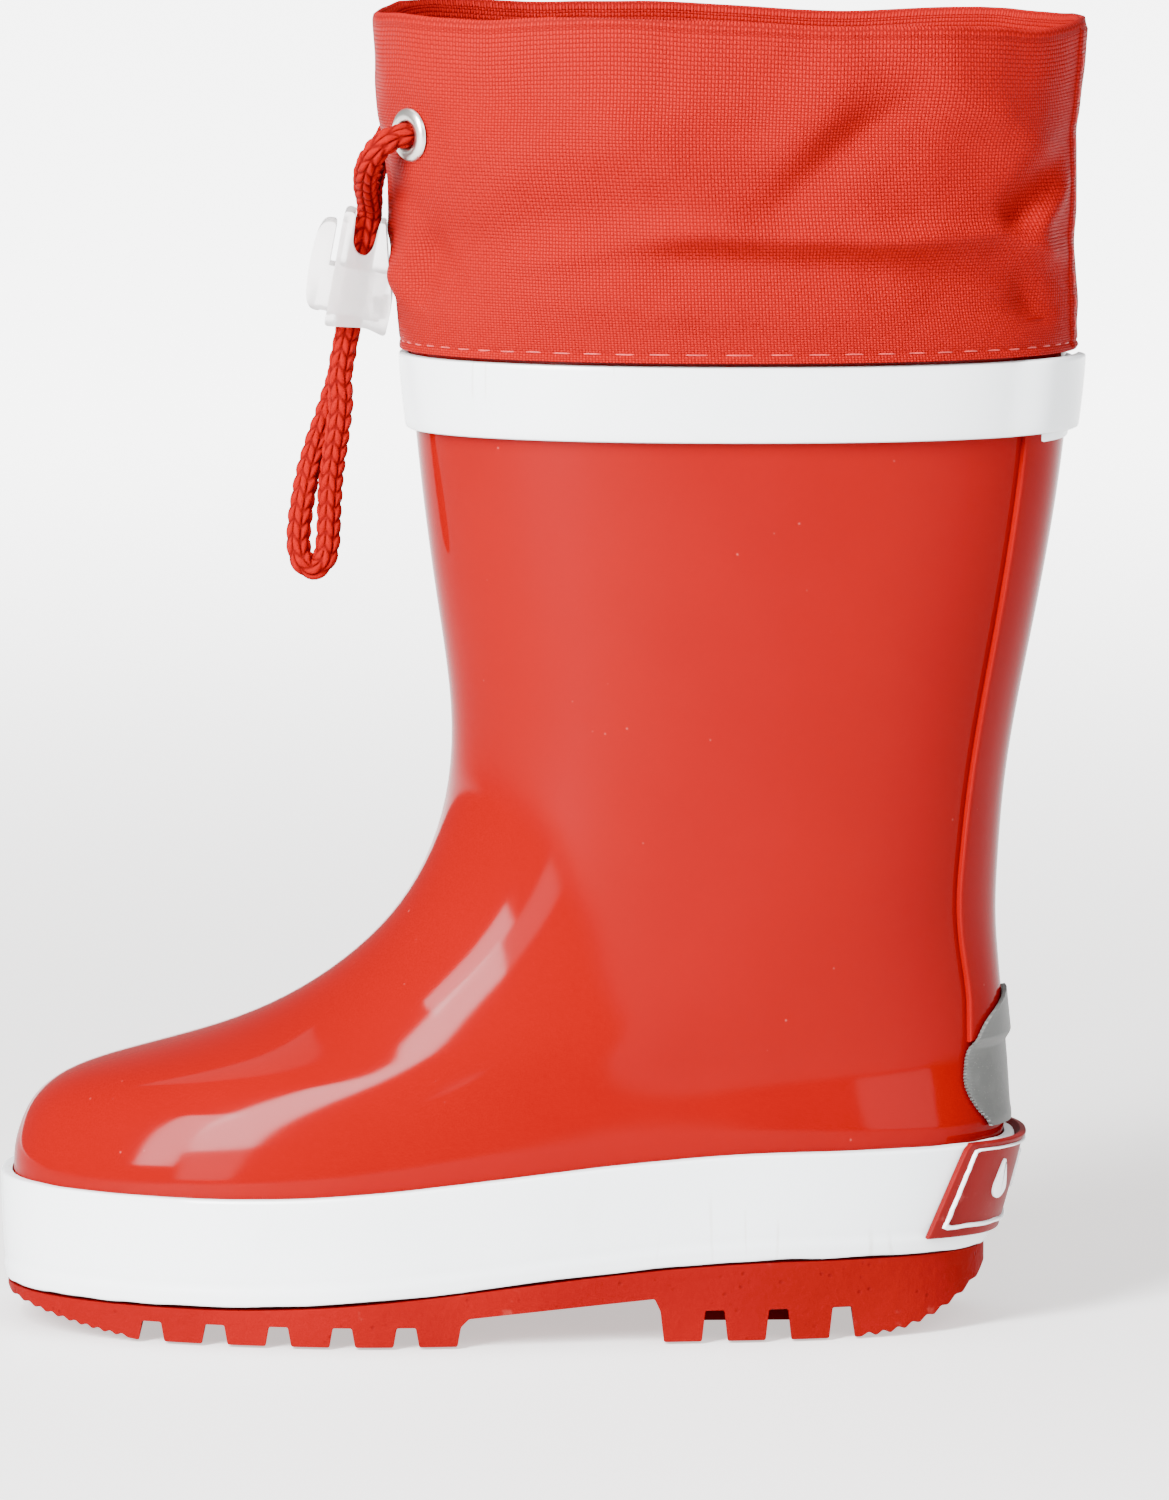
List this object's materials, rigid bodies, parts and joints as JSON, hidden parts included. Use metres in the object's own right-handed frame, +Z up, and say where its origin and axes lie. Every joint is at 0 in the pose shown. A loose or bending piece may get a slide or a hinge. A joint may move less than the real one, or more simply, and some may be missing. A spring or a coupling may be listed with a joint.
{
  "type": "rubber rain boot",
  "caption": "Child's red rubber rain boot with white foxing, cleated outsole, woven drawstring cuff and a sprung cord lock.",
  "frame": {"origin": "on the ground, under the middle of the boot's box", "axes": "+Z up the shaft, toe towards -X, outer side of the foot towards -Y"},
  "size_m": [0.1916, 0.0707, 0.2308],
  "materials": {
    "red_rubber": "glossy",
    "white_rubber": "satin",
    "outsole_rubber": "matte",
    "label_rubber": "satin",
    "reflective_tape": "satin",
    "nylon_cloth": "matte",
    "braided_cord": "matte",
    "nickel": "satin",
    "milky_plastic": "translucent",
    "spring_steel": "polished",
    "knit_lining": "matte",
    "stiff_board": "matte",
    "foam": "matte"
  },
  "bodies": {
    "boot": {"outsole": "outsole_rubber", "sole_filler": "foam", "insole_board": "stiff_board", "insole": "foam", "upper": "red_rubber", "lining": "knit_lining", "toe_puff": "stiff_board", "heel_counter": "stiff_board", "foxing_band": "white_rubber", "top_band": "white_rubber", "back_stay": "red_rubber", "reflective_patch": "reflective_tape", "heel_label": "label_rubber", "label_frame": "white_rubber", "label_drop_left": "white_rubber", "label_drop_middle": "white_rubber", "label_drop_right": "white_rubber", "cuff": "nylon_cloth", "eyelet_near": "nickel", "eyelet_washer_near": "nickel", "eyelet_far": "nickel", "eyelet_washer_far": "nickel", "drawcord_tunnel": "braided_cord", "drawcord_loop": "braided_cord"},
    "lock": {"cord_lock_body": "milky_plastic", "cord_lock_spring": "spring_steel"},
    "button": {"cord_lock_button": "milky_plastic"}
  },
  "joints": [
    {"name": "lock_slide", "type": "slide", "parent": "boot", "child": "lock", "axis": [-0.1822, 0, -0.9833], "range_m": [0, 0.008]},
    {"name": "button_press", "type": "slide", "parent": "lock", "child": "button", "axis": [0.9833, 0, -0.1822], "range_m": [0, 0.0016], "stiffness_N_per_m": 250, "springref_m": -0.004, "deforming": ["cord_lock_spring"]}
  ]
}
